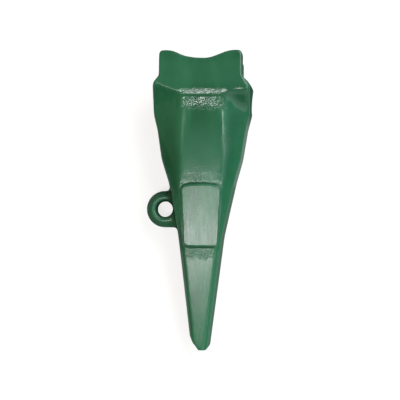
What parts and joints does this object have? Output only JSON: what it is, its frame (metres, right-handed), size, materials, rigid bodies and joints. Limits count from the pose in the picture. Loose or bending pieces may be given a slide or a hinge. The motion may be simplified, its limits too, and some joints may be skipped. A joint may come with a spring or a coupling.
{
  "type": "excavator bucket tooth",
  "caption": "Cast digging tooth with tapered nose socket, cross pin bore, two rear ears and a lifting eye, tapering to a chisel tip.",
  "frame": {"origin": "where the lock pin's axis crosses the middle plane of the socket", "axes": "+X along the pin bore towards the belly side, +Y from the tip to the mouth, +Z across the tooth's width, up as it lies on one side face"},
  "size_m": [0.163, 0.4488, 0.122],
  "materials": {
    "paint": "glossy green enamel over a cast steel surface"
  },
  "bodies": {
    "root": {"tooth": "paint"}
  },
  "joints": []
}
